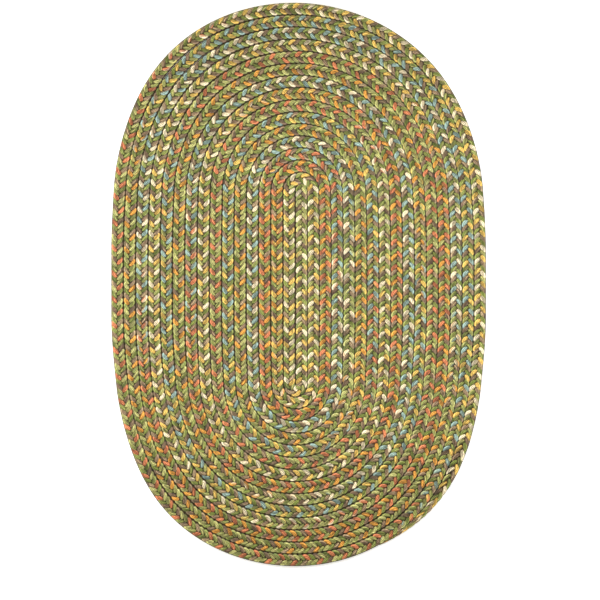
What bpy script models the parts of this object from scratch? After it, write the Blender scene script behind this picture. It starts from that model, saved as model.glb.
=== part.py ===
"""Oval braided rug, lying flat.

One braid is wound round a straight centre row and joined to itself all the way out, so the rug is one
piece: a flat solid, with every row of the braid raised as a rib on both faces. The end of the braid
thins down over the last stretch and dies away against the row beside it.

Metres, +Z up, +Y along the length. The origin is under the middle of the rug, on the floor.
"""

import math

import bmesh
import bpy

# ---- sizes -------------------------------------------------------------------------------------
ROW_WIDTH = 0.0196  # one row of the braid, side to side
CENTRE_LENGTH = 0.316  # the straight centre row, between the centres of its end turns
TURNS = 15  # turns of the braid round the centre row
THICKNESS = 0.010  # the whole rug, from the floor to the top of a rib
GROOVE_TOP = 0.0066  # height of the bottom of a groove between rows, on the upper face
GROOVE_UNDER = 0.0030  # height of the same groove on the underside

# The oval is hand-made: its left rows are a little wider than its right ones, its shoulders are
# drawn in towards the centre row, and its head leans to the left.
LEFT_EASE = 1.016
RIGHT_EASE = 0.984
HEAD_SHOULDERS = 0.028
FOOT_SHOULDERS = 0.045
SHOULDER_FROM = 0.049
SHOULDER_TO = 0.455
HEAD_LEAN = 0.0135

# A row's section: (share of the row's width, height above the floor).
UPPER = ((0.0, GROOVE_TOP), (0.15, 0.0087), (0.5, THICKNESS), (0.85, 0.0087), (1.0, GROOVE_TOP))
UNDER = ((0.0, GROOVE_UNDER), (0.26, 0.0), (0.74, 0.0), (1.0, GROOVE_UNDER))

# ---- fineness ----------------------------------------------------------------------------------
STRAIGHT_STEPS = 4
ARC_STEPS = 20
WELD = 1e-5

# The free end of the braid: the share of the full width left after each step of the last arc.
TAIL = (1.0, 1.0, 0.90, 0.69, 0.46, 0.20, 0.0)

STEPS = 2 * (STRAIGHT_STEPS + ARC_STEPS)  # stations in one turn
HALF_LENGTH = CENTRE_LENGTH / 2
MIDDLE_X = (RIGHT_EASE - LEFT_EASE) * (TURNS + 0.5) * ROW_WIDTH / 2
MIDDLE_Y = ROW_WIDTH / 4  # the head has half a row more than the foot
HEAD_Y = HALF_LENGTH + (TURNS + 0.5) * ROW_WIDTH - MIDDLE_Y


def eased(x, y):
    """Where a point of the true oval lies in the hand-made one, measured from the rug's middle."""
    y -= MIDDLE_Y
    x *= RIGHT_EASE if x > 0 else LEFT_EASE
    along = (abs(y) - SHOULDER_FROM) / (SHOULDER_TO - SHOULDER_FROM)
    if 0 < along < 1:
        most = HEAD_SHOULDERS if y > 0 else FOOT_SHOULDERS
        x *= 1 - most * math.sin(math.pi * along) ** 2
    x -= HEAD_LEAN * (max(y, 0.0) / HEAD_Y) ** 3
    return x - MIDDLE_X, y


def head_arc(radius, turned):
    """Clockwise over the head of the oval, starting at the left."""
    angle = math.pi * (1 - turned)
    return radius * math.cos(angle), HALF_LENGTH + radius * math.sin(angle)


def foot_arc(radius, turned):
    """Clockwise under the foot of the oval, starting at the right."""
    angle = -math.pi * turned
    return radius * math.cos(angle) - ROW_WIDTH / 2, radius * math.sin(angle) - HALF_LENGTH


def groove(station):
    """The groove between two rows: one spiral, from beside the centre row out to the rug's edge."""
    turn, step = divmod(station, STEPS)
    side = (turn + 0.5) * ROW_WIDTH
    if step < STRAIGHT_STEPS:
        return -side, CENTRE_LENGTH * step / STRAIGHT_STEPS - HALF_LENGTH
    step -= STRAIGHT_STEPS
    if step < ARC_STEPS:
        return head_arc(side, step / ARC_STEPS)
    step -= ARC_STEPS
    if step < STRAIGHT_STEPS:
        return side, HALF_LENGTH - CENTRE_LENGTH * step / STRAIGHT_STEPS
    step -= STRAIGHT_STEPS
    return foot_arc((turn + 1) * ROW_WIDTH, step / ARC_STEPS)


def section(station, share, profile):
    """The points across the row at a station, from its inner groove to its outer one."""
    x0, y0 = groove(station)
    x1, y1 = groove(station + STEPS)
    base = profile[0][1]
    points = []
    for across, height in profile:
        x = x0 + (x1 - x0) * across * share
        y = y0 + (y1 - y0) * across * share
        points.append((*eased(x, y), base + (height - base) * share))
    return points


def add_rows(mesh, profile, stations):
    """One face of the rug, as a strip that runs the whole length of the braid."""
    rows = []
    for station, share in stations:
        rows.append([mesh.verts.new(point) for point in section(station, share, profile)])
    for before, after in zip(rows, rows[1:]):
        for k in range(len(profile) - 1):
            mesh.faces.new((before[k], after[k], after[k + 1], before[k + 1]))
    return rows


def add_start(mesh, profile):
    """The rounded start of the braid: a half-disc that closes the upper end of the centre row."""
    rings = []
    for across, height in profile:
        if across < 0.5:
            radius = (0.5 - across) * ROW_WIDTH
            around = [head_arc(radius, step / ARC_STEPS) for step in range(ARC_STEPS + 1)]
            rings.append([mesh.verts.new((*eased(x, y), height)) for x, y in around])
    for outer, inner in zip(rings, rings[1:]):
        for k in range(ARC_STEPS):
            mesh.faces.new((outer[k], outer[k + 1], inner[k + 1], inner[k]))
    crest = [height for across, height in profile if across == 0.5]
    if not crest:
        mesh.faces.new(rings[-1])
        return
    middle = mesh.verts.new((*eased(0, HALF_LENGTH), crest[0]))
    for k in range(ARC_STEPS):
        mesh.faces.new((rings[-1][k], rings[-1][k + 1], middle))


def rug_mesh():
    centre_start = STRAIGHT_STEPS + ARC_STEPS - STEPS
    tail_start = TURNS * STEPS - ARC_STEPS
    stations = [(station, 1.0) for station in range(centre_start, tail_start + 1)]
    for step, share in enumerate(TAIL, 1):
        stations.append((tail_start + step, share))

    mesh = bmesh.new()
    upper = add_rows(mesh, UPPER, stations)
    under = add_rows(mesh, UNDER, stations)
    add_start(mesh, UPPER)
    add_start(mesh, UNDER)
    # The outside edge: one turn back from the tip of the tail, and on round to that tip.
    for k in range(len(stations) - 1 - STEPS, len(stations) - 1):
        mesh.faces.new((upper[k][-1], upper[k + 1][-1], under[k + 1][-1], under[k][-1]))
    bmesh.ops.remove_doubles(mesh, verts=mesh.verts, dist=WELD)
    bmesh.ops.recalc_face_normals(mesh, faces=mesh.faces)
    return mesh


def braided_yarn():
    material = bpy.data.materials.new("braided_yarn")
    material.use_nodes = True
    shader = material.node_tree.nodes["Principled BSDF"]
    shader.inputs["Base Color"].default_value = (0.30, 0.33, 0.17, 1.0)
    shader.inputs["Roughness"].default_value = 0.95
    material.diffuse_color = (0.30, 0.33, 0.17, 1.0)
    return material


for found in list(bpy.data.objects):
    bpy.data.objects.remove(found, do_unlink=True)

rug = bpy.data.objects.new("braided_rug", bpy.data.meshes.new("braided_rug"))
shape = rug_mesh()
shape.to_mesh(rug.data)
shape.free()
rug.data.materials.append(braided_yarn())
collection = bpy.data.collections.new("braided_rug_parts")
bpy.context.scene.collection.children.link(collection)
collection.objects.link(rug)
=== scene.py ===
# %% [markdown]
# # An oval braided rug
#
# The rug is one long braid. Five thick strands of yarn are plaited flat, and the braid is wound round
# itself from a straight centre row outwards, fifteen turns of it, and laced where its rows touch. Three
# of the strands keep to quiet colours, two greens and a taupe. The other two are space-dyed: the yarn
# changes colour every metre and a quarter, and that is the whole secret of the rug's confetti look.
#
# So the script makes very little by hand: one path for the braid, one rule for how a strand runs along
# it, and one recipe for dyed yarn. Everything else follows from those three.

import math

import bpy
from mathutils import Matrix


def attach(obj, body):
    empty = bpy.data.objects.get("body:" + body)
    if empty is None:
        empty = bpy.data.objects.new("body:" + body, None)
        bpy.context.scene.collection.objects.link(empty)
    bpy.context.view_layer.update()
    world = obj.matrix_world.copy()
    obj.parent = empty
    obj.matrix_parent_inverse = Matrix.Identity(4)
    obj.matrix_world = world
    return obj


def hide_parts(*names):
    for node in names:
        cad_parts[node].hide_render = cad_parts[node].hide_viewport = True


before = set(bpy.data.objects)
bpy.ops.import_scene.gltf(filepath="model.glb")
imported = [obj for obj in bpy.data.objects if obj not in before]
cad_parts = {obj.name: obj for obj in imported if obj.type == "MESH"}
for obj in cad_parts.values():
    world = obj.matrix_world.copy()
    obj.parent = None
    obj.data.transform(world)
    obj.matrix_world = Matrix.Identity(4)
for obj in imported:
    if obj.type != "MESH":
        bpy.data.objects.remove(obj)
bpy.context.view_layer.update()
scene = bpy.context.scene
print("nodes to dress:", list(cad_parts))

# %% [markdown]
# ## Camera, floor and light
#
# The rug lies on a white floor and is seen from straight above. A camera that hangs three metres up with
# a long lens keeps the rows near the rim as upright as those in the middle.
#
# The light is soft. Most of it comes from a long strip lamp that hangs low across the middle of the rug,
# so the head and the foot are a little darker than the rows between them. A weak, wide sun from the
# upper left gives every row its darker lower right side, which makes the rows read as ribs, and a dim
# warm sky fills the rest. Lamps alone would leave the floor grey beside the rug. It is a photographer's
# white table, lit from below as well, so it glows a little by itself and stays an even white.

# %% Camera
CAMERA_HEIGHT = 3.0
CAMERA_X = 0.0024
CAMERA_Y = -0.0252
VIEW_WIDTH = 0.9756  # metres of floor across the picture
SENSOR = 36.0  # millimetres

camera = bpy.data.objects.new("camera", bpy.data.cameras.new("camera"))
scene.collection.objects.link(camera)
camera.location = (CAMERA_X, CAMERA_Y, CAMERA_HEIGHT)
camera.data.sensor_width = SENSOR
camera.data.lens = SENSOR * CAMERA_HEIGHT / VIEW_WIDTH
scene.camera = camera
print("lens", round(camera.data.lens, 1), "mm")

# %% Floor
FLOOR_SIZE = 6.0
FLOOR_WHITE = (0.9, 0.9, 0.9, 1.0)
FLOOR_ROUGHNESS = 0.9
FLOOR_GLOW = 0.6

half = FLOOR_SIZE / 2
corners = [(-half, -half, 0), (half, -half, 0), (half, half, 0), (-half, half, 0)]
floor_mesh = bpy.data.meshes.new("floor")
floor_mesh.from_pydata(corners, [], [(0, 1, 2, 3)])
floor = bpy.data.objects.new("floor", floor_mesh)
scene.collection.objects.link(floor)
paint = bpy.data.materials.new("white_floor")
paint.use_nodes = True
paint_shader = paint.node_tree.nodes["Principled BSDF"]
paint_shader.inputs["Base Color"].default_value = FLOOR_WHITE
paint_shader.inputs["Roughness"].default_value = FLOOR_ROUGHNESS
paint_shader.inputs["Emission Color"].default_value = (1, 1, 1, 1)
paint_shader.inputs["Emission Strength"].default_value = FLOOR_GLOW
floor_mesh.materials.append(paint)
print("the floor is", FLOOR_SIZE, "m across")

# %% Light
WARM = (1.0, 0.96, 0.78)
SUN_POWER = 0.94
SUN_SPREAD = 35  # degrees across, so its shadows are soft
SUN_FROM = (-1.5, 1.5, 2.4)
STRIP_POWER = 10.3
STRIP_COLOUR = (1.0, 0.99, 1.05)
STRIP_LENGTH = 2.4
STRIP_WIDTH = 0.4
STRIP_PLACE = (-0.2, 0.035, 0.66)
SKY_STRENGTH = 0.22


def lamp(name, kind, power, colour, place):
    made = bpy.data.objects.new(name, bpy.data.lights.new(name, kind))
    made.data.energy = power
    made.data.color = colour
    made.location = place
    scene.collection.objects.link(made)
    return made


sun = lamp("key_lamp", "SUN", SUN_POWER, WARM, SUN_FROM)
sun.data.angle = math.radians(SUN_SPREAD)
sun.rotation_euler = (-sun.location).to_track_quat("-Z", "Y").to_euler()
strip = lamp("strip_lamp", "AREA", STRIP_POWER, STRIP_COLOUR, STRIP_PLACE)
strip.data.shape = "RECTANGLE"
strip.data.size = STRIP_LENGTH
strip.data.size_y = STRIP_WIDTH
sky = bpy.data.worlds.new("soft_sky")
scene.world = sky
sky.use_nodes = True
sky.node_tree.nodes["Background"].inputs["Color"].default_value = (*WARM, 1.0)
sky.node_tree.nodes["Background"].inputs["Strength"].default_value = SKY_STRENGTH
scene.view_settings.view_transform = "Standard"

# %% [markdown]
# ## The path of the braid
#
# A maker starts in the middle: a straight row as long as the finished rug is longer than it is wide.
# There the braid turns round its own end and comes back beside itself, and from then on every turn is
# two straight runs and two half circles. The upper half circles are centred on the end of the middle
# row, and the lower ones half a row to the left of it. That small shift is what turns closed ovals into
# one spiral.
#
# No hand-wound rug is a perfect oval. This one has its shoulders drawn in, left rows a little wider than
# its right ones, and a head that leans to the left, so each point of the true spiral is eased to where
# the real braid lies.

# %% The oval's sizes
ROW_WIDTH = 0.0196
CENTRE_LENGTH = 0.316
TURNS = 15
THICKNESS = 0.010
HALF_LENGTH = CENTRE_LENGTH / 2

LEFT_EASE = 1.016
RIGHT_EASE = 0.984
HEAD_SHOULDERS = 0.028
FOOT_SHOULDERS = 0.045
SHOULDER_FROM = 0.049
SHOULDER_TO = 0.455
HEAD_LEAN = 0.0135
MIDDLE_X = (RIGHT_EASE - LEFT_EASE) * (TURNS + 0.5) * ROW_WIDTH / 2
MIDDLE_Y = ROW_WIDTH / 4
HEAD_Y = HALF_LENGTH + (TURNS + 0.5) * ROW_WIDTH - MIDDLE_Y


def eased(x, y):
    """Where a point of the true oval lies in the hand-made one."""
    y -= MIDDLE_Y
    x *= RIGHT_EASE if x > 0 else LEFT_EASE
    along = (abs(y) - SHOULDER_FROM) / (SHOULDER_TO - SHOULDER_FROM)
    if 0 < along < 1:
        most = HEAD_SHOULDERS if y > 0 else FOOT_SHOULDERS
        x *= 1 - most * math.sin(math.pi * along) ** 2
    x -= HEAD_LEAN * (max(y, 0.0) / HEAD_Y) ** 3
    return x - MIDDLE_X, y


print("the point (0.2, 0.3) of the true oval lies at", [round(v, 4) for v in eased(0.2, 0.3)])

# %% [markdown]
# The path is a list of points a few millimetres apart. Each one also carries a *share*: how much of the
# braid's full width is left there. It is one almost everywhere. At the start the strands' cut ends are
# tucked under the row above, out of sight, and the braid widens from there to a round tip. At the finish
# it is thinned until it dies away against its neighbour, as a maker does so that the rug ends without a
# step.

# %% Straight runs and half circles
STEP = 0.004  # metres between two points
FEWEST_STEPS = 12  # in a half circle, however small


def straight(x, start, end):
    """A run along the rug's length."""
    steps = int(abs(end - start) / STEP)
    return [(x, start + (end - start) * k / steps, 1.0) for k in range(steps)]


def half_circle(centre_x, centre_y, radius, start, end):
    """Half a turn round one end of the oval; angles in radians."""
    steps = max(FEWEST_STEPS, int(abs(end - start) * radius / STEP))
    points = []
    for k in range(steps):
        angle = start + (end - start) * k / steps
        points.append((centre_x + radius * math.cos(angle), centre_y + radius * math.sin(angle), 1.0))
    return points


print("the centre row has", len(straight(0.0, HALF_LENGTH, -HALF_LENGTH)), "points")

# %% The start of the braid
TUCK = 0.005  # how far the start reaches under the next row
TUCK_STEPS = 3
TIP_STEPS = 10
THIN_END = 0.3  # the share of the width that the tucked ends keep


def tucked_start():
    """The start of the braid: its thin end reaches under the row above, then it widens to a round tip."""
    points = []
    for k in range(TUCK_STEPS):
        points.append((0.0, HALF_LENGTH + ROW_WIDTH / 2 + TUCK * (1 - k / TUCK_STEPS), THIN_END))
    for k in range(TIP_STEPS):
        up = math.cos(math.pi / 2 * k / TIP_STEPS)
        share = max(THIN_END, math.sqrt(1 - up * up))
        points.append((0.0, HALF_LENGTH + ROW_WIDTH / 2 * up, share))
    return points


print("its start has", len(tucked_start()), "points")

# %% The finish of the braid
TAIL_STEPS = 80
# Past the end of the last straight run: (degrees round the foot, share of the width left).
TAIL = ((0, 1.0), (18, 1.0), (27, 0.90), (36, 0.69), (45, 0.46), (54, 0.20), (62, 0.02))


def tail_share(degrees):
    """The share of the braid's width left at an angle round the foot."""
    for (low, before), (high, after) in zip(TAIL, TAIL[1:]):
        if degrees <= high:
            return before + (after - before) * (degrees - low) / (high - low)
    return TAIL[-1][1]


def thinning_tail():
    """The finish: the braid narrows towards the row beside it."""
    points = []
    for k in range(TAIL_STEPS + 1):
        degrees = TAIL[-1][0] * k / TAIL_STEPS
        share = tail_share(degrees)
        radius = (TURNS + share / 2) * ROW_WIDTH
        angle = -math.radians(degrees)
        x = radius * math.cos(angle) - ROW_WIDTH / 2
        points.append((x, radius * math.sin(angle) - HALF_LENGTH, share))
    return points


print("half way round its tail the braid has", round(tail_share(TAIL[-1][0] / 2), 2), "of its width")

# %% The whole path, as a curve
path = tucked_start()
path += straight(0.0, HALF_LENGTH, -HALF_LENGTH)
path += half_circle(-ROW_WIDTH / 2, -HALF_LENGTH, ROW_WIDTH / 2, 0, -math.pi)
for turn in range(1, TURNS + 1):
    reach = turn * ROW_WIDTH
    path += straight(-reach, -HALF_LENGTH, HALF_LENGTH)
    path += half_circle(0.0, HALF_LENGTH, reach, math.pi, 0)
    path += straight(reach, HALF_LENGTH, -HALF_LENGTH)
    if turn < TURNS:
        path += half_circle(-ROW_WIDTH / 2, -HALF_LENGTH, reach + ROW_WIDTH / 2, 0, -math.pi)
path += thinning_tail()

path_curve = bpy.data.curves.new("braid_path", "CURVE")
path_curve.dimensions = "3D"
spline = path_curve.splines.new("POLY")
spline.points.add(len(path) - 1)
path_length = 0.0
previous = None
for point, (x, y, share) in zip(spline.points, path):
    x, y = eased(x, y)
    point.co = (x, y, 0, 1)
    point.radius = share
    if previous:
        path_length += math.dist(previous, (x, y))
    previous = (x, y)
print(f"the braid is {path_length:.2f} m long, through {len(path)} points")

# %% [markdown]
# ## How a strand runs
#
# In a flat braid of five, the outermost strand crosses over two others to the middle, then passes under
# the two that come from the other side, and turns back at the far edge. Every strand does the same, a
# fifth of a round after the one before. Seen from above that gives the braid two columns of slanting
# stitches that meet in a V, and the same on its underside.
#
# A rule says it all. While a strand swings once from side to side and back, it rises and sinks twice.
# Swing is a cosine and height is a sine of twice the angle, the figure that draws a lying eight. At each
# rim the flat strand rolls over, so the face that was up on the way there is down on the way back.
#
# Geometry Nodes suit this well: the tree reads the path once and bends as many points as are wanted. It
# samples the path, moves each point sideways and up by the rule, sets which way the strand faces there,
# and sweeps a flat section along the result. The points stand closer together near the rims, where a
# strand bends most. Slow noise with a fixed seed keeps one stitch from being the twin of the next, and
# lets the plait run a little tighter here and slacker there, as it does in a maker's hands.

# %% Sizes of the braid
STRANDS = 5
PLAIT = 0.0411  # length of braid in which a strand swings once across and back
SAMPLES = 26  # points of a strand in that length
POINT_STEP = PLAIT / SAMPLES
STRAND_WIDTH = 0.0074
STRAND_THICKNESS = 0.0044
SWING = 0.0071  # how far the middle of a strand goes to each side of the braid's middle
LIFT = 0.00205  # how far it rises and sinks

print(f"a point of a strand every {POINT_STEP * 1000:.2f} mm, {path_length / PLAIT:.1f} swings in all")

# %% [markdown]
# A node tree that follows a rule is a formula. Laid out by hand it would be some hundred and fifty nodes
# with their links, which is hard to read back. So a few short helpers add the nodes, and the tree is
# written here line by line, as sums and products with names. The same helpers serve the finishes.


# %% A helper that writes nodes as formulas
class Formula:
    """Adds nodes to a tree; a number or a socket may go in wherever a value is wanted."""

    def __init__(self, tree):
        self.tree = tree

    def node(self, kind, **settings):
        made = self.tree.nodes.new(kind)
        for name, value in settings.items():
            setattr(made, name, value)
        return made

    def put(self, node, socket, value):
        if isinstance(value, bpy.types.NodeSocket):
            self.tree.links.new(value, node.inputs[socket])
        else:
            node.inputs[socket].default_value = value

    def math(self, operation, first, second=0.0, third=0.0):
        made = self.node("ShaderNodeMath", operation=operation)
        for index, value in enumerate((first, second, third)):
            self.put(made, index, value)
        return made.outputs[0]

    def add(self, first, second):
        return self.math("ADD", first, second)

    def times(self, first, second):
        return self.math("MULTIPLY", first, second)

    def limited(self, value, low=0.0, high=1.0):
        return self.math("MINIMUM", self.math("MAXIMUM", value, low), high)

    def vector(self, operation, first, second=None, scale=None):
        made = self.node("ShaderNodeVectorMath", operation=operation)
        self.put(made, 0, first)
        if second is not None:
            self.put(made, 1, second)
        if scale is not None:
            self.put(made, "Scale", scale)
        return made.outputs["Value" if operation == "DOT_PRODUCT" else "Vector"]

    def upward(self, height):
        made = self.node("ShaderNodeCombineXYZ")
        self.put(made, "Z", height)
        return made.outputs[0]

    def slow_noise(self, along, waves, amount, seed, middle=0.0):
        """Smooth noise along a strand: waves to the metre, and the amount to each side of a middle."""
        made = self.node("ShaderNodeTexNoise", noise_dimensions="1D")
        self.put(made, "W", self.add(self.times(along, waves), seed))
        self.put(made, "Scale", 1.0)
        self.put(made, "Detail", 1.0)
        both_ways = self.math("MULTIPLY_ADD", made.outputs[0], 2.0, -1.0)
        return self.math("MULTIPLY_ADD", both_ways, amount, middle)


print("helpers:", [name for name in vars(Formula) if not name.startswith("_")])


# %% Its other half, for geometry
class Steps(Formula):
    """The same for a geometry tree, with the mesh or curve handed from node to node."""

    flow = None

    def then(self, node, entry=0):
        self.tree.links.new(self.flow, node.inputs[entry])
        self.flow = node.outputs[0]
        return node

    def store(self, name, value, kind="FLOAT", domain="POINT"):
        node = self.node("GeometryNodeStoreNamedAttribute", data_type=kind, domain=domain)
        node.inputs["Name"].default_value = name
        self.put(node, "Value", value)
        self.then(node)

    def read(self, name, kind="FLOAT"):
        node = self.node("GeometryNodeInputNamedAttribute", data_type=kind)
        node.inputs["Name"].default_value = name
        return node.outputs["Attribute"]

    def of_face(self, value):
        """The mean of a value over a face, for each of its corners."""
        made = self.node("GeometryNodeFieldOnDomain", domain="FACE")
        self.put(made, 0, value)
        return made.outputs[0]

    def sweep(self, profile):
        """Runs a section along the curve, scaled by the curve's radius and closed at both ends."""
        node = self.then(self.node("GeometryNodeCurveToMesh"), "Curve")
        self.put(node, "Profile Curve", profile)
        self.put(node, "Scale", self.node("GeometryNodeInputRadius").outputs[0])
        self.put(node, "Fill Caps", True)


print("and for geometry:", [name for name in vars(Steps) if not name.startswith("_")])


# %% Open and close a tree
def open_tree(name, inputs):
    """A geometry tree with named inputs: (name, kind, value)."""
    tree = bpy.data.node_groups.new(name, "GeometryNodeTree")
    tree.interface.new_socket("Geometry", in_out="INPUT", socket_type="NodeSocketGeometry")
    for label, kind, value in inputs:
        socket = tree.interface.new_socket(label, in_out="INPUT", socket_type="NodeSocket" + kind)
        if value is not None:
            socket.default_value = value
    tree.interface.new_socket("Geometry", in_out="OUTPUT", socket_type="NodeSocketGeometry")
    return tree


def close_tree(steps, material):
    """Every tree here ends in the same two steps, so that a plain mesh comes out with its finish."""
    steps.then(steps.node("GeometryNodeRealizeInstances"))
    steps.put(steps.then(steps.node("GeometryNodeSetMaterial")), "Material", material)
    steps.put(steps.node("NodeGroupOutput"), 0, steps.flow)


strand_tree = open_tree(
    "plaited_strand",
    (
        ("Points", "Int", 100),
        ("Plait length", "Float", PLAIT),
        ("Samples", "Float", float(SAMPLES)),
        ("Swing", "Float", SWING),
        ("Lift", "Float", LIFT),
        ("Height", "Float", THICKNESS / 2),
        ("Phase", "Float", 0.0),
        ("Start", "Float", 0.0),
        ("Tail start", "Float", 1.0),
        ("Rim start", "Float", 1.0),
        ("Seed", "Float", 0.0),
        ("Section", "Object", None),
        ("Material", "Material", None),
    ),
)
s = Steps(strand_tree)
given = s.node("NodeGroupInput").outputs
print("inputs:", [socket.name for socket in given if socket.name])

# %% [markdown]
# Part one of the tree finds where the middle of the strand runs. First come the points, each with its
# place along the braid and its angle in the plait, then the rule that turns the angle into a swing and a
# rise. Last comes a mark for the shader: the outer side of the last turn is the rug's own rim, and no
# next row stands there to shade it.

# %% Part one: the points, and how tight the plait is
CROWDING = 0.2  # how far the points of a strand are drawn together at the rims, where it bends most
TAIL_STRETCH = 0.35  # by this share the strands cross less often where the braid is thinned
# Slow noise, here and below: (waves to the metre, how much, seed).
SLACKNESS = (0.45, 2.2, 9.0)  # radians that the plait runs ahead or behind, pulled looser or tighter

# Any line does to begin with, because all its points are moved to where they belong.
s.flow = s.node("GeometryNodeCurvePrimitiveLine").outputs[0]
resample = s.then(s.node("GeometryNodeResampleCurve", mode="COUNT"), "Curve")
s.put(resample, "Count", given["Points"])

index = s.node("GeometryNodeInputIndex").outputs[0]
spacing = s.math("DIVIDE", given["Plait length"], given["Samples"])
evenly = s.add(s.times(index, spacing), given["Start"])
slack = s.add(s.slow_noise(evenly, *SLACKNESS), given["Phase"])
in_tail = s.math("MAXIMUM", s.math("SUBTRACT", evenly, given["Tail start"]), 0.0)
slack = s.add(slack, s.math("DIVIDE", s.times(in_tail, math.tau * TAIL_STRETCH), given["Plait length"]))
angle = s.add(s.math("DIVIDE", s.times(evenly, -math.tau), given["Plait length"]), slack)
crowd = s.times(s.math("SINE", s.times(angle, 2.0)), CROWDING / math.tau)
along = s.add(evenly, s.times(crowd, given["Plait length"]))
print("the points:", len(strand_tree.nodes), "nodes")

# %% Part one: where the path lies at each point
sample = s.node("GeometryNodeSampleCurve", mode="LENGTH")
s.put(sample, "Curves", given["Geometry"])
s.put(sample, "Value", s.node("GeometryNodeInputRadius").outputs[0])
s.put(sample, "Length", along)
share = sample.outputs["Value"]
sideways = s.vector("NORMALIZE", s.vector("CROSS_PRODUCT", sample.outputs["Tangent"], (0, 0, 1)))
print("the path:", len(strand_tree.nodes), "nodes so far")

# %% Part one: the rule of the plait
OFF_CENTRE = -0.11  # the strands meet a little nearer to the braid's outer edge, which is drawn tighter
SHARPER = 0.02  # third harmonic: a strand turns back more sharply at the rim than a cosine does
FULLER = 0.1  # the same for the height: it stays up a little longer
WOBBLE = (16.0, 0.22, 5.0)  # radians that a single stitch comes early or late
UNEVENNESS = (22.0, 0.05, 1.0)  # how much further or less far a strand swings

wobble = s.slow_noise(along, *WOBBLE)
turned = s.math("DIVIDE", s.times(along, -math.tau), given["Plait length"])
turned = s.add(turned, s.add(slack, wobble))
reach = s.add(s.math("COSINE", turned), s.times(s.math("COSINE", s.times(turned, 3.0)), SHARPER))
reach = s.add(reach, s.times(s.math("POWER", s.math("SINE", turned), 2.0), OFF_CENTRE))
uneven = s.slow_noise(along, *UNEVENNESS, middle=1.0)
swing = s.times(s.times(reach, uneven), s.times(given["Swing"], share))
twice = s.times(turned, 2.0)
rise = s.add(s.math("SINE", twice), s.times(s.math("SINE", s.times(twice, 3.0)), FULLER))
rise = s.math("DIVIDE", rise, 1 - FULLER)
lift = s.times(s.times(rise, given["Lift"]), share)
place = s.vector("ADD", sample.outputs["Position"], s.vector("SCALE", sideways, scale=swing))
place = s.vector("ADD", place, s.upward(s.add(lift, given["Height"])))
print("the rule:", len(strand_tree.nodes), "nodes so far")

# %% Part one: a mark for the rug's own rim
RIM_FADE = 0.1  # metres of braid over which the last turn comes out from beside its neighbour
OUTER_FROM = -0.3  # of its swing: from here a strand lies on the outer side,
OUTER_TO = -0.8  # and from here all of it does

last_turn = s.limited(s.math("DIVIDE", s.math("SUBTRACT", along, given["Rim start"]), RIM_FADE))
outward = 1 / (OUTER_TO - OUTER_FROM)
outer_side = s.limited(s.math("MULTIPLY_ADD", reach, outward, -OUTER_FROM * outward))
# 1 on the outer side of the last turn, the rug's own rim, where the finish paints no groove shade
open_side = s.times(last_turn, outer_side)
print("part one:", len(strand_tree.nodes), "nodes")

# %% [markdown]
# The face of the strand rolls through half a turn at each rim. The direction is worked out with the rest
# and stored on the points, and only then are the points moved, because the tangent that the facing has
# to be square to is the tangent of the bent strand. Real strands aren't equally thick all along either:
# they are squeezed where they turn and where they cross, and each has plumper and thinner stretches.

# %% Part two: which way the strand faces
ROLL_SOFTNESS = 0.2  # 0 keeps the strand flat until it nears the rim, 1 rolls it all the way across

sine = s.math("SINE", turned)
late = s.math("SINE", s.times(sine, math.pi / 2))
blend = s.add(s.times(late, 1 - ROLL_SOFTNESS), s.times(sine, ROLL_SOFTNESS))
roll = s.math("MULTIPLY_ADD", blend, math.pi / 2, -math.pi / 2)
leaned = s.vector("SCALE", sideways, scale=s.math("SINE", roll))
facing = s.vector("ADD", leaned, s.upward(s.math("COSINE", roll)))
print("the facing:", len(strand_tree.nodes), "nodes so far")

# %% Part two: how thick it is
NARROWER = 0.08  # how much a strand is squeezed where it turns and where it crosses
PLUMP_WAVES = 45.0
PLUMPNESS = 0.13
THINNING = 0.45  # a thinned strand keeps more girth than the braid keeps width: the power that gives it

squeezed = s.math("POWER", s.math("COSINE", s.times(turned, 2.0)), 2.0)
squeeze = s.math("MULTIPLY_ADD", squeezed, -NARROWER, 1.0)
plumpness = s.slow_noise(along, PLUMP_WAVES, PLUMPNESS, given["Seed"], middle=1.0)
girth = s.times(s.times(squeeze, plumpness), s.math("POWER", share, THINNING))
print("the girth:", len(strand_tree.nodes), "nodes so far")

# %% Part two: store it all, then bend the line
s.store("along", along)
s.store("share", share)
s.store("open", open_side)
s.store("girth", girth)
s.store("facing", facing, "FLOAT_VECTOR")
s.put(s.then(s.node("GeometryNodeSetPosition")), "Position", place)
tangent = s.node("GeometryNodeInputTangent").outputs[0]
facing = s.read("facing", "FLOAT_VECTOR")
slant = s.vector("SCALE", tangent, scale=s.vector("DOT_PRODUCT", facing, tangent))
square = s.vector("NORMALIZE", s.vector("SUBTRACT", facing, slant))
s.put(s.then(s.node("GeometryNodeSetCurveNormal", mode="FREE")), "Normal", square)
s.put(s.then(s.node("GeometryNodeSetCurveRadius")), "Radius", s.read("girth"))
strand_line = s.flow
print("part two:", len(strand_tree.nodes), "nodes")

# %% [markdown]
# A strand is three yarns side by side. To give each yarn its own roundness would take a section of a
# dozen points or more, some fifteen thousand times along every strand. So the section is a flat lozenge
# of six points, and the yarns are left to the finish, which shades the hollows between them and raises
# them in its bump. The section's own position across the strand is kept on the mesh as *across*, from -1
# to 1, and together with *along* it gives every point of a strand an address that the finish can use:
# this far along the yarn, this far across it. For baked textures the same two numbers lay the strand out
# in rows on a square, like thread wound on a card.

# %% The section of a strand
# Half of it, as shares of half the width and half the thickness; the other half is the same, turned. The
# points go round it in the direction that makes the swept faces point outwards.
SECTION = ((1.0, 0.0), (0.48, -1.0), (-0.48, -1.0))


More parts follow.
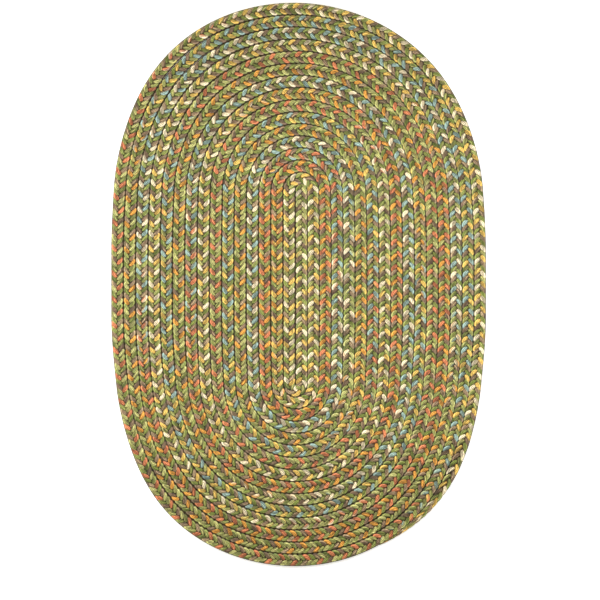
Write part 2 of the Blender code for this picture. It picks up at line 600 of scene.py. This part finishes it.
def section_object(name, half_outline, width, thickness):
    """A closed outline for a sweep: across is its own y, and its depth is its own x."""
    outline = list(half_outline) + [(-across, -depth) for across, depth in half_outline]
    curve = bpy.data.curves.new(name, "CURVE")
    curve.dimensions = "3D"
    ring = curve.splines.new("POLY")
    ring.use_cyclic_u = True
    ring.points.add(len(outline) - 1)
    for point, (across, depth) in zip(ring.points, outline):
        point.co = (depth * thickness, across * width, 0, 1)
    made = bpy.data.objects.new(name, curve)
    scene.collection.objects.link(made)
    print(name, "has", len(outline), "points")
    return made


section = section_object("strand_section", SECTION, STRAND_WIDTH / 2, STRAND_THICKNESS / 2)

# %% Part three: sweep the section along the strand
section_info = s.node("GeometryNodeObjectInfo")
s.put(section_info, "Object", given["Section"])
s.flow = section_info.outputs["Geometry"]
section_place = s.node("ShaderNodeSeparateXYZ")
s.put(section_place, 0, s.node("GeometryNodeInputPosition").outputs[0])
s.store("across", s.math("DIVIDE", section_place.outputs["Y"], STRAND_WIDTH / 2))
s.store("round", s.math("DIVIDE", s.node("GeometryNodeInputIndex").outputs[0], 2 * len(SECTION)))
profile = s.flow

s.flow = strand_line
s.sweep(profile)
# A twisted strip bends over the shorter diagonal of each of its four-sided faces.
s.then(s.node("GeometryNodeTriangulate", quad_method="SHORTEST_DIAGONAL"))
s.then(s.node("GeometryNodeSetShadeSmooth"))
print("the sweep:", len(strand_tree.nodes), "nodes so far")

# %% Part three: lay the strand out on a card
CARD_ROW = 0.66  # metres of strand in one row of the layout
CARD_ROWS = 40
CARD_ENDS = 0.008  # share of the card left free at each end of a row
CARD_GAP = 0.003  # share of a row left free at each side of it
# The way round the section starts at 0. On the faces that close it a corner at 0 counts as 1, and they
# are known by their mean, which lies past the second of these values.
AT_SEAM = 0.001
PAST_SEAM = 0.2

row = s.math("FLOOR", s.math("DIVIDE", s.of_face(s.read("along")), CARD_ROW))
row = s.math("MAXIMUM", row, 0.0)
u = s.math("SUBTRACT", s.read("along"), s.times(row, CARD_ROW))
u = s.math("MULTIPLY_ADD", u, (1 - 2 * CARD_ENDS) / CARD_ROW, CARD_ENDS)
closing = s.times(
    s.math("LESS_THAN", s.read("round"), AT_SEAM),
    s.math("GREATER_THAN", s.of_face(s.read("round")), PAST_SEAM),
)
v = s.math("MULTIPLY_ADD", s.add(s.read("round"), closing), 1 - 2 * CARD_GAP, CARD_GAP)
v = s.math("DIVIDE", s.add(v, row), CARD_ROWS)
card = s.node("ShaderNodeCombineXYZ")
s.put(card, "X", u)
s.put(card, "Y", v)
s.store("OFBake", card.outputs[0], "FLOAT2", "CORNER")
close_tree(s, given["Material"])
print("part three:", len(strand_tree.nodes), "nodes in all")

# %% [markdown]
# ## The yarn
#
# The yarn is soft, matt and a little fuzzy, spun from fibres of several tones, so no stitch is one flat
# colour. Each strand has three yarns side by side and they are not dyed alike: where a dyed colour ends,
# one yarn changes some five centimetres before the next, so for a few stitches two colours lie in one.
#
# A picture of yarn would repeat along twenty-four metres of braid, and yarns modelled singly would take
# millions of faces. But every point carries its address on the strand, so the finish is worked out from
# that, and it bends with the strand. The recipe is the same for all five strands. *Across* tells the
# three yarns apart and darkens the hollows between them with painted shade. *Along* finds the tone. Fine
# noise, drawn out along the yarn and slanted by its twist, gives the fibres, and the same noise feeds the
# bump. Two plies twisted together make a row of bulges, painted lighter on their crowns. Little light
# gets down between the stitches, so shade is painted into the yarn as well: it is darker the nearer it
# lies to the middle of the braid's thickness, but for the rug's own rim, which nothing shades. Only the
# table of
# tones differs: the quiet strands drift between a few near tones, and the two bright ones go through six
# dyes in a fixed order.

# %% Tones
def tone(red, green, blue):
    """A colour as a dyer's chart gives it, 0 to 255, made linear for the shader."""
    channels = []
    for value in (red, green, blue):
        value /= 255
        channels.append(value / 12.92 if value <= 0.04045 else ((value + 0.055) / 1.055) ** 2.4)
    return (*channels, 1.0)


DYES = {
    "yellow": tone(238, 201, 107),
    "coral": tone(221, 137, 95),
    "cream": tone(246, 232, 198),
    "orange": tone(233, 168, 78),
    "grey_blue": tone(156, 184, 178),
    "pale_green": tone(196, 196, 126),
}
LEAF_TONES = (tone(126, 140, 69), tone(153, 164, 92), tone(184, 181, 113), tone(134, 148, 87))
MOSS_TONES = (tone(171, 174, 104), tone(122, 138, 63), tone(160, 167, 94), tone(141, 152, 85))
BARK_TONES = (tone(162, 136, 109), tone(126, 104, 84), tone(182, 160, 125), tone(148, 124, 102))
print("dyes in their order:", list(DYES))


# %% The colour of a space-dyed yarn
DYE_RUN = 1.27  # metres of yarn in one dye
DYE_BLEND = 0.10  # metres over which one dye goes over into the next


def colour_ramp(f, place, stops):
    """A ramp of colours: (position, colour)."""
    node = f.node("ShaderNodeValToRGB")
    while len(node.color_ramp.elements) < len(stops):
        node.color_ramp.elements.new(1.0)
    for element, (position, colour) in zip(node.color_ramp.elements, stops):
        element.position = position
        element.color = colour
    f.put(node, 0, place)
    return node.outputs["Color"]


def dye_ramp(f, place, run):
    """Six dyes in turn, each for one run, blended over a short stretch where they meet."""
    colours = list(DYES.values())
    count = len(colours)
    edge = DYE_BLEND / run / 2
    meeting = tuple((a + b) / 2 for a, b in zip(colours[0], colours[-1]))
    stops = [(0.0, meeting)]
    for number, colour in enumerate(colours):
        stops.append(((number + edge) / count, colour))
        stops.append(((number + 1 - edge) / count, colour))
    stops.append((1.0, meeting))
    return colour_ramp(f, f.math("FRACT", f.math("DIVIDE", place, run * count)), stops)


print("the order of dyes repeats after", round(DYE_RUN * len(DYES), 2), "m")

# %% The colour of a quiet yarn
DRIFT_WAVES = 9.0  # to the metre
DRIFT_FROM = 0.28  # noise seldom leaves the middle of its range, so the tones share that part of it
DRIFT_TO = 0.72


def drifting_ramp(f, place, tones, seed):
    """A few near tones that a quiet yarn drifts between."""
    noise = f.node("ShaderNodeTexNoise", noise_dimensions="1D")
    f.put(noise, "W", f.add(place, seed))
    f.put(noise, "Scale", DRIFT_WAVES)
    f.put(noise, "Detail", 2.0)
    between = (DRIFT_TO - DRIFT_FROM) / (len(tones) - 1)
    stops = [(DRIFT_FROM + between * number, colour) for number, colour in enumerate(tones)]
    return colour_ramp(f, noise.outputs[0], stops)


print("a quiet yarn drifts between", len(LEAF_TONES), "tones, some", round(1000 / DRIFT_WAVES), "mm each")


# %% Where a point lies on its yarn
YARNS = 3


class OnYarn(Formula):
    """A finish's node tree that knows on which yarn of the strand each point lies, and where."""

    def __init__(self, tree):
        super().__init__(tree)
        self.along = self.attribute("along")
        self.across = self.attribute("across")
        self.lane = self.times(self.add(self.across, 1.0), YARNS / 2)
        # Which of the three it is, 0, 1 or 2, also at the very edge of the last.
        self.which = self.math("FLOOR", self.math("MINIMUM", self.lane, YARNS - 0.001))
        # 0 to 1 across one yarn, and made of it, 1 at both its sides and 0 on its crown.
        self.within = self.math("SUBTRACT", self.lane, self.which)
        self.rim = self.math("ABSOLUTE", self.math("MULTIPLY_ADD", self.within, 2.0, -1.0))

    def attribute(self, name):
        return self.node("ShaderNodeAttribute", attribute_name=name).outputs["Fac"]

    def seed_of_yarn(self, seed, apart):
        """Each of the three yarns has noise of its own."""
        return self.add(self.times(self.which, apart), seed)


print("one yarn is", round(STRAND_WIDTH / YARNS * 1000, 2), "mm wide")

# %% Its tone
TONES_APART = 3.71  # metres between the noise of one yarn's tones and the next one's
DYES_APART = 0.055  # metres by which one yarn changes its dye before the next
DYE_WANDER = (3.0, 0.05)  # waves to the metre, and metres that a change of dye comes early or late


def yarn_tone(f, tones, seed, dye_start, dye_run):
    """The yarn's colour before light and shade; with no tones given it is the space-dyed one."""
    if tones:
        return drifting_ramp(f, f.add(f.along, f.times(f.which, TONES_APART)), tones, seed)
    late = f.times(f.math("SUBTRACT", f.which, 1.0), DYES_APART)
    drift = f.slow_noise(f.along, *DYE_WANDER, seed)
    return dye_ramp(f, f.add(f.add(f.along, late), f.add(drift, -dye_start)), dye_run)


print("one yarn changes", DYES_APART * 1000, "mm before the next")

# %% Its fibres and plies
PLY = 0.0042  # metres of yarn from one bulge of its plies to the next
FIBRES_ACROSS = 12.0  # fibres side by side across one yarn
FIBRES_SLANT = 900.0  # fibres that a metre along the yarn passes, because its twist slants them
FIBRES_ALONG = 210.0  # to the metre: how soon a streak gives way to the next one along the yarn
FIBRES_SHIFT = 1.2  # how much that moves on across one yarn


def fibre_noise(f, seed):
    """Fine streaks along the yarn, slanted by its twist."""
    noise = f.node("ShaderNodeTexNoise", noise_dimensions="3D")
    spot = f.node("ShaderNodeCombineXYZ")
    f.put(spot, "X", f.add(f.times(f.along, FIBRES_ALONG), f.times(f.lane, FIBRES_SHIFT)))
    f.put(spot, "Y", f.add(f.times(f.lane, FIBRES_ACROSS), f.times(f.along, FIBRES_SLANT)))
    f.put(spot, "Z", f.add(f.which, seed))
    f.put(noise, "Vector", spot.outputs[0])
    f.put(noise, "Scale", 1.0)
    f.put(noise, "Detail", 3.0)
    f.put(noise, "Roughness", 0.6)
    return noise.outputs[0]


def ply_bulges(f):
    """Two plies twisted together: from above each yarn is a row of slanting bulges."""
    twist = f.add(f.times(f.along, 1 / PLY), f.within)
    return f.math("ABSOLUTE", f.math("SINE", f.times(twist, math.pi)))


print(round(PLAIT / PLY), "bulges in the length of one plait")

# %% How light it is
FIBRE_LIGHT = (1.9, -0.07)  # how much lighter the lightest is than the darkest, and how light that is
# painted light: each ply bulge lighter on its crown than where it dips between the plies
BULGE_LIGHT = 0.42
PATCHES = (40.0, 1.9)  # lighter and darker patches a stitch long: waves to the metre, how much
PATCH_DARKEST = 0.56
PATCH_LIGHTEST = 1.32
PATCHES_APART = 7.7  # between the seeds of two yarns
SLUBS = (330.0, 0.35)  # short thick and thin places in the spinning
SLUBS_APART = 13.7


def yarn_light(f, fibre, bulge, seed):
    """A factor on the tone, near 1, from everything that makes one bit of yarn lighter than another,
    painted light on the crowns of its ply bulges among them.
    """
    light = f.math("MULTIPLY_ADD", fibre, *FIBRE_LIGHT)
    light = f.add(light, f.times(bulge, BULGE_LIGHT))
    patch = f.slow_noise(f.along, *PATCHES, f.seed_of_yarn(seed, PATCHES_APART), middle=1.0)
    patch = f.limited(patch, PATCH_DARKEST, PATCH_LIGHTEST)
    slub = f.slow_noise(f.along, *SLUBS, f.seed_of_yarn(seed, SLUBS_APART), middle=1.0)
    return f.times(f.times(light, patch), slub)


print("patches are some", round(1000 / PATCHES[0]), "mm long and slubs", round(1000 / SLUBS[0]), "mm")

# %% How deep in painted shade it lies
HOLLOW_POWER = 2.0  # how steeply the painted shade in a hollow between two yarns darkens
EDGE_POWER = 9.0  # the painted shade along the strand's own edge is a narrow line,
EDGE_SHADE = 0.35  # and only so dark
SUNK_FROM = 0.0033  # nearer than this to the middle of the braid's thickness, yarn comes into painted shade
SUNK_TO = 0.0018  # and nearer than this the shade is full
SUNK_SHADE = 2.2  # how dark full shade is; over 1, so yarn is black a little before


def yarn_shade(f):
    """Painted shade: 0 in full light, 1 in the hollow between two yarns, and over 1 deep in a groove."""
    edge = f.math("POWER", f.math("ABSOLUTE", f.across), EDGE_POWER)
    inner = f.math("SUBTRACT", 1.0, edge)
    hollow = f.math("POWER", f.rim, HOLLOW_POWER)
    shade = f.math("MAXIMUM", f.times(hollow, inner), f.times(edge, EDGE_SHADE))
    place = f.node("ShaderNodeSeparateXYZ")
    f.put(place, 0, f.node("ShaderNodeTexCoord").outputs["Object"])
    off_middle = f.math("ABSOLUTE", f.math("SUBTRACT", place.outputs["Z"], THICKNESS / 2))
    sunk = f.node("ShaderNodeMapRange", interpolation_type="SMOOTHSTEP")
    f.put(sunk, "Value", off_middle)
    f.put(sunk, "From Min", SUNK_TO)
    f.put(sunk, "From Max", SUNK_FROM)
    f.put(sunk, "To Min", 1.0)
    f.put(sunk, "To Max", 0.0)
    # The painted groove shade fades where the braid is thinned.
    thinned = f.times(f.math("POWER", f.attribute("share"), 2.0), SUNK_SHADE)
    deep = f.times(sunk.outputs["Result"], thinned)
    deep = f.times(deep, f.math("SUBTRACT", 1.0, f.attribute("open")))
    return f.math("MAXIMUM", shade, deep)


print("full shade reaches", SUNK_TO * 1000, "mm to each side of the middle")

# %% The whole finish
# How much of each colour a painted shade of 1 swallows: blue most, so that the painted shade looks warm.
SHADE = {"Red": 0.78, "Green": 0.84, "Blue": 0.97}
ROUGHNESS = (-0.25, 0.95)  # what a light fibre takes off, and the most
CROWN = 1.02  # a yarn's round top is a root, and a little over 1 here keeps it above 0 at the sides
BUMP_BULGE = 0.35
BUMP_FIBRE = 0.3
BUMP_STRENGTH = 0.8
BUMP_HEIGHT = 0.0008


def yarn(name, tones=None, seed=0.0, dye_start=0.0, dye_run=DYE_RUN):
    """A strand's finish: tone, light and painted shade multiplied, with the fibres in roughness and bump
    too.

    dye_start is the place along the braid, in metres, where the order of dyes begins.
    """
    material = bpy.data.materials.new(name)
    material.use_nodes = True
    shader = material.node_tree.nodes["Principled BSDF"]
    f = OnYarn(material.node_tree)
    fibre = fibre_noise(f, seed)
    bulge = ply_bulges(f)
    light = yarn_light(f, fibre, bulge, seed)
    shade = yarn_shade(f)
    # The yarn's lightness and its painted shade, channel by channel, to multiply into the tone.
    light_and_painted_shade = f.node("ShaderNodeCombineColor")
    for channel, loss in SHADE.items():
        f.put(light_and_painted_shade, channel, f.times(light, f.math("MULTIPLY_ADD", shade, -loss, 1.0)))
    mix = f.node("ShaderNodeMix", data_type="RGBA", blend_type="MULTIPLY")
    f.put(mix, "Factor", 1.0)
    f.put(mix, "A", yarn_tone(f, tones, seed, dye_start, dye_run))
    f.put(mix, "B", light_and_painted_shade.outputs[0])
    f.put(shader, "Base Color", mix.outputs["Result"])
    f.put(shader, "Roughness", f.math("MULTIPLY_ADD", fibre, *ROUGHNESS))
    shader.inputs["Specular IOR Level"].default_value = 0.25
    shader.inputs["Sheen Weight"].default_value = 0.12
    shader.inputs["Sheen Roughness"].default_value = 0.6
    crown = f.math("SQRT", f.math("SUBTRACT", CROWN, f.times(f.rim, f.rim)))
    bump = f.node("ShaderNodeBump")
    height = f.add(crown, f.times(bulge, BUMP_BULGE))
    f.put(bump, "Height", f.add(height, f.times(fibre, BUMP_FIBRE)))
    f.put(bump, "Strength", BUMP_STRENGTH)
    f.put(bump, "Distance", BUMP_HEIGHT)
    f.put(shader, "Normal", bump.outputs[0])
    print(name, "has", len(material.node_tree.nodes), "nodes")
    return material


# %% [markdown]
# ## Five strands
#
# Along a rim of the braid the strands turn up in a fixed order: bright, taupe, green, bright, green, and
# bright again. They differ in nothing but their phase, their seeds and their yarn, so one loop plaits
# them all. What comes out of the tree is kept as a plain mesh, one for each strand.

# %% Their yarns
DYE_RUN_B = 1.285  # the second bright strand's dyes are a little longer
DYES_AHEAD = 3  # and it is this many dyes further on in the order

STRAND_YARNS = {
    "strand_bright_a": yarn("dyed_yarn_a", seed=11.0, dye_start=0.15),
    "strand_bark": yarn("taupe_yarn", BARK_TONES, seed=8.1),
    "strand_moss": yarn("moss_green_yarn", MOSS_TONES, seed=5.9),
    "strand_bright_b": yarn(
        "dyed_yarn_b", seed=17.0, dye_start=1.15 - DYES_AHEAD * DYE_RUN_B, dye_run=DYE_RUN_B
    ),
    "strand_leaf": yarn("leaf_green_yarn", LEAF_TONES, seed=2.3),
}


# %% A helper that keeps what a tree makes
def plain_mesh(name, data, tree, values):
    """Runs a tree on an object once and keeps what comes out as an ordinary mesh object."""
    maker = bpy.data.objects.new(name + "_maker", data)
    scene.collection.objects.link(maker)
    modifier = maker.modifiers.new("make", "NODES")
    modifier.node_group = tree
    sockets = {item.name: item.identifier for item in tree.interface.items_tree if item.in_out == "INPUT"}
    for label, value in values.items():
        modifier[sockets[label]] = value
    ready = maker.evaluated_get(bpy.context.evaluated_depsgraph_get())
    mesh = bpy.data.meshes.new_from_object(ready)
    mesh.name = name
    bpy.data.objects.remove(maker)
    piece = bpy.data.objects.new(name, mesh)
    scene.collection.objects.link(piece)
    print(name, "has", sum(len(face.vertices) - 2 for face in mesh.polygons), "triangles")
    return piece


print("the yarns are ready:", len(STRAND_YARNS))

# %% Plait them
TAIL_LENGTH = 0.22  # metres of braid that are thinned at the finish
RIM_LENGTH = 2.6  # metres of braid in the last turn, whose outer side is the rug's rim
FIRST_POINT = 0.0003  # metres; the path is sampled from just inside its end
FIRST_SEED = 30.0
SEEDS_APART = 7.3

strands = []
for number, (name, finish) in enumerate(STRAND_YARNS.items()):
    # The phases are fifths of a swing, and this puts the points of all five at the same angles of it.
    start = (SAMPLES * number / STRANDS) % 1.0 * POINT_STEP
    values = {
        "Points": int((path_length - start) / POINT_STEP),
        "Phase": math.tau * number / STRANDS,
        "Start": start + FIRST_POINT,
        "Tail start": path_length - TAIL_LENGTH,
        "Rim start": path_length - RIM_LENGTH,
        "Seed": FIRST_SEED + SEEDS_APART * number,
        "Section": section,
        "Material": finish,
    }
    strands.append(plain_mesh(name, path_curve, strand_tree, values))

# %% [markdown]
# ## The packed inside of the braid
#
# Between the strands the braid isn't hollow: the yarn is pressed together where strands cross, and rows
# press against each other where they are laced. Nothing of that is seen but the dark bottom of each
# groove, and without it the white floor would shine through the rug. A flat plate would hide the floor
# as well, but its outline would have to be drawn. Instead one flat rib runs along the same path, so it
# has the hand-made outline and the thinned finish by itself. It is a third as thick as the braid, so it
# stays deep in the grooves, and a little wider than a row, so that each turn touches the next. Laid out,
# that rib covers the whole rug, and the strands lie on it.

# %% The rib's section
INSIDE_WIDTH = 0.0202
INSIDE_THICKNESS = 0.0034
# One half of the section, as shares of the width and the thickness; the other half is the same, turned.
RIB = ((0.5, -0.14), (0.28, -0.5), (-0.28, -0.5), (-0.5, -0.14))

rib_section = section_object("rib_section", RIB, INSIDE_WIDTH, INSIDE_THICKNESS)

# %% The rib's tree
INSIDE_STEP = 0.006

rib_tree = open_tree(
    "packed_rib",
    (
        ("Step", "Float", INSIDE_STEP),
        ("Height", "Float", THICKNESS / 2),
        ("Section", "Object", None),
        ("Material", "Material", None),
    ),
)
r = Steps(rib_tree)
rib_given = r.node("NodeGroupInput").outputs
r.flow = rib_given["Geometry"]
r.store("girth", r.node("GeometryNodeInputRadius").outputs[0])
resample = r.then(r.node("GeometryNodeResampleCurve", mode="LENGTH"), "Curve")
r.put(resample, "Length", rib_given["Step"])
r.put(r.then(r.node("GeometryNodeSetPosition")), "Offset", r.upward(rib_given["Height"]))
r.put(r.then(r.node("GeometryNodeSetCurveNormal", mode="FREE")), "Normal", (0, 0, 1))
r.put(r.then(r.node("GeometryNodeSetCurveRadius")), "Radius", r.read("girth"))
rib_info = r.node("GeometryNodeObjectInfo")
r.put(rib_info, "Object", rib_given["Section"])
r.sweep(rib_info.outputs["Geometry"])
r.then(r.node("GeometryNodeSetShadeSmooth"))
close_tree(r, rib_given["Material"])
print("the rib's tree:", len(rib_tree.nodes), "nodes")

# %% Shaded yarn, deep in the braid: its dark colour is painted shade
SPECKLES = 420.0  # to the metre
# painted shade: the yarn's colours as dark as they look deep in a groove
PAINTED_SHADE_TONES = [(0.35, tone(62, 46, 24)), (0.65, tone(98, 80, 44))]
DEEP_ROUGHNESS = (-0.2, 1.0)

shaded = bpy.data.materials.new("shaded_yarn")
shaded.use_nodes = True
shaded_shader = shaded.node_tree.nodes["Principled BSDF"]
f = Formula(shaded.node_tree)
speckle = f.node("ShaderNodeTexNoise")
f.put(speckle, "Vector", f.node("ShaderNodeTexCoord").outputs["Object"])
f.put(speckle, "Scale", SPECKLES)
f.put(speckle, "Detail", 3.0)
f.put(shaded_shader, "Base Color", colour_ramp(f, speckle.outputs[0], PAINTED_SHADE_TONES))
f.put(shaded_shader, "Roughness", f.math("MULTIPLY_ADD", speckle.outputs[0], *DEEP_ROUGHNESS))
rough = f.node("ShaderNodeBump")
f.put(rough, "Height", speckle.outputs[0])
f.put(rough, "Distance", BUMP_HEIGHT)
f.put(shaded_shader, "Normal", rough.outputs[0])
print("shaded_yarn has", len(shaded.node_tree.nodes), "nodes")

# %% Lay it
inside = plain_mesh("packed_yarn", path_curve, rib_tree, {"Section": rib_section, "Material": shaded})

# %% [markdown]
# ## Clear up
#
# The two sections have done their work and go. Every piece rides on the rug's one body and stands for
# the one solid of the packed model. Laid flat, the rug covers an oval of 0.6076 by 0.9138 m; its area is
# the length of the braid times the width of a row.

# %% Remove what only helped
for helper in (section, rib_section):
    bpy.data.objects.remove(helper)

for piece in (*strands, inside):
    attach(piece, "root")
    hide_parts("braided_rug")
